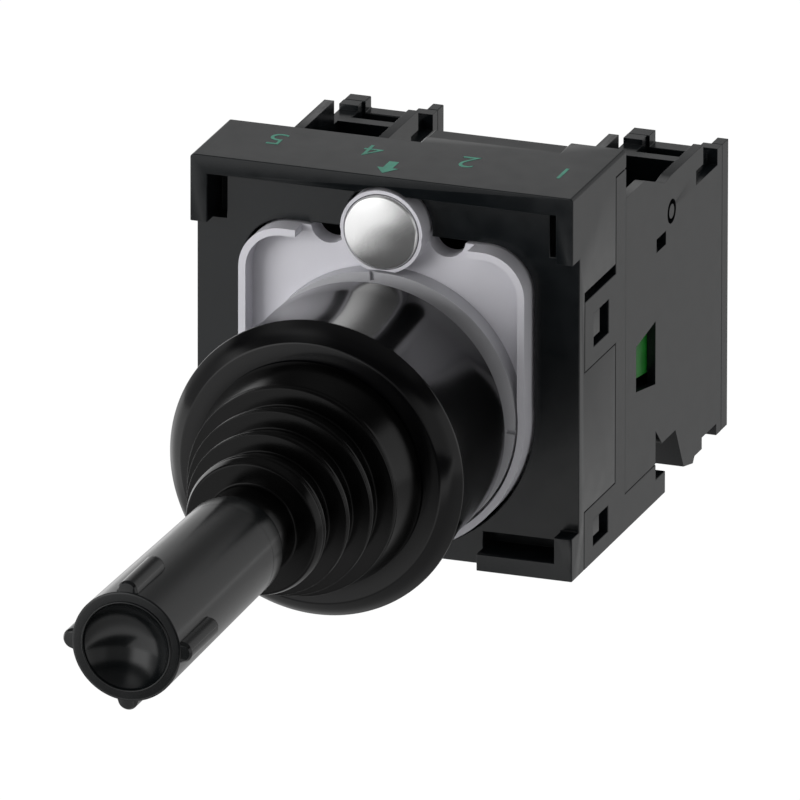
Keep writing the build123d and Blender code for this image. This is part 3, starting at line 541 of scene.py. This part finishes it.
edge_rounds = {
    "front_frame": 0.12,
    "rear_frame": 0.10,
    "clamp_plate": 0.16,
    "locking_ring": 0.10,
    "module_housing_left": 0.10,
    "module_housing_right": 0.10,
    "rear_cap_left": 0.12,
    "rear_cap_right": 0.12,
}
for node_name, radius in edge_rounds.items():
    piece = softened(node_name, f"{node_name}_moulded", radius)
    print(piece.name, len(piece.data.polygons), "faces before rounding")

# %% [markdown]
# Turned pieces are surfaces of revolution: a profile of depth and radius goes round the lever
# axis. The profile's corners are rounded first, because a round edge catches the light and a
# sharp one does not.


# %% Surfaces on a grid
def rounded(corners, radius, steps=6):
    """A profile with its inner corners rounded.

    Each corner p between a and b becomes the curve (1-t)^2 u + 2t(1-t) p + t^2 v, where u and v
    lie on the two sides at the given distance from p, or at 0.45 of a shorter side."""
    corners = np.asarray(corners, float)
    reach = np.broadcast_to(np.asarray(radius, float), len(corners) - 2)[:, None]
    before = corners[:-2] - corners[1:-1]
    after = corners[2:] - corners[1:-1]
    sides = [np.linalg.norm(side, axis=1, keepdims=True) for side in (before, after)]
    reach = np.minimum(reach, 0.45 * np.minimum(*sides))
    start = corners[1:-1] + before / sides[0] * reach
    end = corners[1:-1] + after / sides[1] * reach
    t = np.linspace(0, 1, steps)[None, :, None]
    arcs = (1 - t) ** 2 * start[:, None] + 2 * t * (1 - t) * corners[1:-1][:, None] + t**2 * end[:, None]
    return np.vstack([corners[:1], arcs.reshape(-1, 2), corners[-1:]])


def grid_piece(name, points, sharp=50):
    """A closed mesh from a grid of points in mm, rows by columns by 3, joined along both seams."""
    rows, columns = points.shape[:2]
    index = np.arange(rows * columns).reshape(rows, columns)
    index = np.hstack([index, index[:, :1]])
    quads = np.stack([index[:-1, :-1], index[1:, :-1], index[1:, 1:], index[:-1, 1:]], -1)
    mesh = bpy.data.meshes.new(name)
    mesh.from_pydata((points.reshape(-1, 3) * MM).tolist(), [], quads.reshape(-1, 4).tolist())
    work = bmesh.new()
    work.from_mesh(mesh)
    bmesh.ops.remove_doubles(work, verts=work.verts, dist=weld)
    bmesh.ops.dissolve_degenerate(work, edges=work.edges, dist=0.4 * weld)
    bmesh.ops.recalc_face_normals(work, faces=work.faces)
    work.to_mesh(mesh)
    work.free()
    mesh.polygons.foreach_set("use_smooth", np.ones(len(mesh.polygons), bool))
    mesh.set_sharp_from_angle(angle=radians(sharp))
    return add_object(name, mesh)


def turned(profile, columns=192, axis_height=0.0):
    """Grid of a surface of revolution: x = r cos a, y = depth, z = axis height + r sin a."""
    depth, radius = np.asarray(profile, float).T[:, :, None]
    angle = np.linspace(0, 2 * pi, columns, endpoint=False)[None]
    return np.stack(
        [radius * np.cos(angle), depth + 0 * angle, axis_height + radius * np.sin(angle)], -1
    )


# %% [markdown]
# The bell is a thin shell. Its outside is a cylinder near the panel, then flares to the front,
# where a crowned bevel leads to the flat face with the mouth for the boot.

# %% Bell
bell_back = bell_high[1]
bell_front = bell_low[1]
bell_widest = bell_high[0]
bell_base = 14.1
bell_band = 3.2
bell_nose = 1.8
bell_crown = (0.75, 1.05)
bell_bore = 12.5
bell_mouth = 9.7
bell_wall = 1.6
bell_face = bell_widest - bell_nose

t = np.linspace(0, 1, 40)[:, None]
flare_start = np.array((bell_back - bell_band, bell_base))
flare_end = np.array((bell_front + bell_nose, bell_widest))
flare = flare_start + (flare_end - flare_start) * np.hstack([t, t**2 * (1.5 - 0.5 * t)])
nose_to_back = rounded(
    [
        flare[-2],
        flare_end,
        (bell_front + bell_crown[0], bell_face + bell_crown[1]),
        (bell_front, bell_face),
        (bell_front, bell_mouth),
        (bell_front + bell_wall, bell_mouth),
        (bell_front + bell_wall, bell_bore),
        (bell_back, bell_bore),
        (bell_back, bell_base),
        (bell_back - bell_band, bell_base),
    ],
    (0.3, 0.7, 0.15, 0.25, 0.25, 0.25, 0.25, 0.25),
)
bell = grid_piece("bell", turned(np.vstack([flare[:-2], nose_to_back])))
dress(bell, "switch", "bell_plastic", "bell_housing")
print(bell.name, len(bell.data.polygons), "faces")

# %% [markdown]
# The boot is a moulded rubber bellows. Each fold has a narrow rim with two edges, the fine double
# lines that shine on the real one, and a deep rounded valley behind it. The lever's foot sits in
# the neck. The surface is one closed profile, with its wall, so it has no open edge.

# %% Bellows
fold_start = 5.2
fold_pitch = 3.43
fold_taper = 1.23
fold_radius = 10.8
fold_rim = 1.0
fold_valley = 1.9
fold_slope = 0.10
rim_dip = 0.12
rim_crown = 0.02
flange_radius = 12.3
flange_inner = 8.3
flange_width = 1.4
waist_radius = 9.6
cuff_radius = 11.7
neck_foot = 6.8
neck_radius = 4.6
neck_bore = 2.6
lining_radius = 4.3
boot_wall = 0.9
groove = bell_front + bell_wall + 0.05
cuff = bell_front - 0.1
boot_end = -37.49
neck_end = -42.29

outside = [
    (groove + flange_width, flange_inner),
    (groove + flange_width, flange_radius),
    (groove, flange_radius),
    (groove, waist_radius),
    (cuff, waist_radius),
    (cuff, cuff_radius),
    (cuff - 1.0, cuff_radius - 0.1),
]
for fold in range(4):
    back = bell_front - fold_start - fold * fold_pitch + fold_rim / 2
    radius = fold_radius - fold * fold_taper
    outside += [
        (back, radius),
        (back - 0.3 * fold_rim, radius - rim_crown),
        (back - 0.5 * fold_rim, radius - rim_dip),
        (back - 0.7 * fold_rim, radius - rim_crown),
        (back - fold_rim, radius),
        (back - fold_rim - fold_slope, radius - fold_valley),
    ]
neck = [(boot_end, neck_foot), (boot_end, neck_radius), (neck_end, neck_radius), (neck_end, neck_bore)]
lining = [
    (boot_end + boot_wall, neck_bore),
    (boot_end + boot_wall, lining_radius),
    (bell_front, flange_inner),
    outside[0],
]
boot_profile = rounded(outside[:-1] + neck + lining, 0.25)
bellows = grid_piece("rubber_bellows", turned(boot_profile))
bellows.data.materials.append(boot_rubber)
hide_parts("bellows")
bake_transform(bellows)
print(bellows.name, len(bellows.data.polygons), "faces")

# %% [markdown]
# The handle is a slightly tapered grip with a dished end. Four half-round ribs near the tip stop
# fingers from slipping. Each rib is a rounded rod laid along the grip, so the radius at an angle
# is the larger of the grip's and the rod's.

# %% Handle
handle_back = handle_high[1]
handle_tip = handle_low[1]
grip_back_radius = 5.2
grip_front_radius = 5.6
grip_foot = 3
foot_radius = 5.25
dish_rim = 4.43
dish_depth = 2.4
tip_edge = 0.25
lip_height = 0.14
lip_width = 0.22
rib_radius = 1.05
rib_centre = handle_high[0] - rib_radius
rib_start = handle_tip + 0.25
rib_end = rib_start + 8.45
rib_run_out = 0.8
rib_lead_in = 0.35
lead_in_slope = 0.6


def dish(rim_depth, rim_radius, depth, steps=24):
    """A spherical bowl from its rim to its centre: a circle's arc whose sagitta is the depth."""
    ball = (rim_radius**2 + depth**2) / (2 * depth)
    edge = np.arcsin(rim_radius / ball)
    angle = np.linspace(edge, 0, steps)
    return np.stack([rim_depth + ball * np.cos(angle) - (ball - depth), ball * np.sin(angle)], 1)


foot_start = handle_back - grip_foot
foot_corners = [(handle_back, 0.0), (handle_back, grip_back_radius), (foot_start, foot_radius)]
back_face = rounded(foot_corners, 0.5)
tip_back = handle_tip + tip_edge
slope = np.linspace(foot_start, tip_back, 120)
for end in (rib_start, rib_end - rib_run_out / 2):
    slope = np.append(slope, np.clip(end + np.linspace(-0.5, 0.5, 25), tip_back, None))
slope = np.unique(slope)[::-1]
grip_radius = np.interp(slope, [handle_tip, handle_back], [grip_front_radius, grip_back_radius])
side = np.stack([slope, grip_radius], 1)
turn = np.linspace(0, pi / 2, 10)[1:, None]
tip = np.hstack(
    [
        handle_tip + lip_height + (tip_edge - lip_height) * (1 - np.sin(turn)),
        grip_front_radius - tip_edge * (1 - np.cos(turn)),
    ]
)
bead = np.linspace(0, pi, 9)[:, None]
lip = np.hstack(
    [
        handle_tip + lip_height * (1 - np.sin(bead)),
        dish_rim + lip_width / 2 * (1 + np.cos(bead)),
    ]
)
bowl = dish(handle_tip + lip_height, dish_rim, dish_depth - lip_height)[1:]
profile = np.vstack([back_face, side, tip, lip, bowl])

# %% [markdown]
# The ribs start with a short lead-in behind the tip and run out to the rear over a quarter of an
# ellipse, as a ball-nosed cutter leaves them in the mould.


# %% Ribs on the grip
def ribbed(profile, columns=288):
    """Grid of the grip: r = max(grip radius, c cos p + sqrt(a^2 - c^2 sin^2 p)) over four ribs.

    p is the angle from the nearest rib, c its centre's radius and a its own radius, which shrinks
    to nothing over a quarter of an ellipse at the rib's rear end."""
    depth, radius = profile.T[:, :, None]
    angle = np.linspace(0, 2 * pi, columns, endpoint=False)[None]
    from_rib = (angle + pi / 4) % (pi / 2) - pi / 4
    past = np.clip((depth - rib_end) / rib_run_out + 1, 0, 1)
    early = np.clip(rib_start + rib_lead_in - depth, 0, rib_lead_in)
    own = rib_radius * np.sqrt(1 - past**2) - early * lead_in_slope
    under = own**2 - (rib_centre * np.sin(from_rib)) ** 2
    rib = rib_centre * np.cos(from_rib) + np.sqrt(np.maximum(under, 0))
    outside_dish = radius > dish_rim + 0.3
    on_rib = (under > 0) & (depth > rib_start) & (depth < rib_end) & outside_dish
    radius = np.where(on_rib, np.maximum(radius, rib), radius)
    return np.stack([radius * np.cos(angle), depth + 0 * angle, radius * np.sin(angle)], -1)


handle = grid_piece("grip", ribbed(profile), sharp=40)
dress(handle, "lever", "handle_plastic", "handle")
print(handle.name, len(handle.data.polygons), "faces")

# %% [markdown]
# The pressure disc of the clamp screw is polished steel with a low dome, which gathers the room
# into one soft gradient.

# %% Pressure disc
disc_radius = (disc_high[0] - disc_low[0]) / 2
disc_axis = (disc_high[2] + disc_low[2]) / 2
dome = 0.3
disc_edge = 0.35
disc_rim = disc_low[1] + dome
cap = dish(disc_rim, disc_radius - disc_edge, -dome)[::-1]
turn = np.linspace(0, pi / 2, 8)[1:, None]
edge = np.hstack(
    [disc_rim + disc_edge * (1 - np.cos(turn)), disc_radius - disc_edge * (1 - np.sin(turn))]
)
back = np.array([(disc_high[1], disc_radius), (disc_high[1], 0)])
disc = grid_piece("polished_disc", turned(np.vstack([cap, edge, back]), 128, disc_axis))
dress(disc, "pressure_disc", "polished_steel", "pressure_disc")
print(disc.name, len(disc.data.polygons), "faces")

# %% [markdown]
# Each push rod and each plunger works against a coil spring. One end of a spring stays on the fixed body
# and the other follows the rod. Each spring here is a copy of its node's mesh, with its place baked in,
# and it stands in for that node.

# %% Springs
for spring, follower in (("centring_spring", "push_rod"), ("return_spring", "plunger")):
    for side in ("left", "right"):
        node_name = f"{spring}_{side}"
        mesh = frame["nodes"][node_name].data.copy()
        mesh.name = f"coiled_{node_name}"
        piece = add_object(mesh.name, mesh)
        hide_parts(node_name)
        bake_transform(piece)

# %% [markdown]
# The holder's roof carries slot numbers and an arrow in green ink, to be read from behind. They
# are text and an outline made into thin meshes, a hundredth of a millimetre proud of the roof.

# %% Numbers
ink_height = 0.012
ink_thickness = 0.01 * MM


def printed(name, curve, place, turn):
    """A flat curve made into a mesh, turned about Z by turn and laid on the roof at place, in mm."""
    helper = add_object(name, curve)
    bpy.context.view_layer.update()
    evaluated = helper.evaluated_get(bpy.context.evaluated_depsgraph_get())
    mesh = bpy.data.meshes.new_from_object(evaluated)
    bpy.data.objects.remove(helper)
    spot = Vector((*place, roof_height + ink_height)) * MM
    mesh.transform(Matrix.Translation(spot) @ Matrix.Rotation(turn, 4, "Z"))
    mesh.name = name
    piece = add_object(name, mesh)
    mesh.materials.clear()
    mesh.materials.append(marking_ink)
    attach(piece, "switch")


digit_height = 4.5 * MM
digit_thinning = -0.05 * MM
digit_depth = 7.1
slot_digits = {"5": -13.4, "4": -3.4, "2": 6.6, "1": 16.5}
for digit, across in slot_digits.items():
    text = bpy.data.curves.new(f"number_{digit}", "FONT")
    text.body = digit
    text.size = digit_height
    text.align_x = "CENTER"
    text.align_y = "CENTER"
    text.offset = digit_thinning
    text.extrude = ink_thickness
    printed(f"number_{digit}", text, (across, digit_depth), pi)
print("printed", len(slot_digits), "numbers")

# %% [markdown]
# The arrow points to the front, at the clamp screw. It is a filled flat curve with straight
# sides, given by half its outline's sizes.

# %% Arrow
arrow_place = (-0.25, 2.6)
arrow_half = 1.1
arrow_head = 1.6
arrow_tail = 1.9
shaft_half = 0.5
arrow = np.array(
    [
        (0, -arrow_head),
        (arrow_half, 0),
        (shaft_half, 0),
        (shaft_half, arrow_tail),
        (-shaft_half, arrow_tail),
        (-shaft_half, 0),
        (-arrow_half, 0),
    ]
)
outline = bpy.data.curves.new("arrow", "CURVE")
outline.dimensions = "2D"
outline.fill_mode = "BOTH"
outline.extrude = ink_thickness
spline = outline.splines.new("POLY")
spline.points.add(len(arrow) - 1)
flat = np.hstack([arrow * MM, np.zeros((len(arrow), 1)), np.ones((len(arrow), 1))])
spline.points.foreach_set("co", flat.ravel())
spline.use_cyclic_u = True
printed("arrow", outline, arrow_place, 0)
print("printed an arrow at", arrow_place)
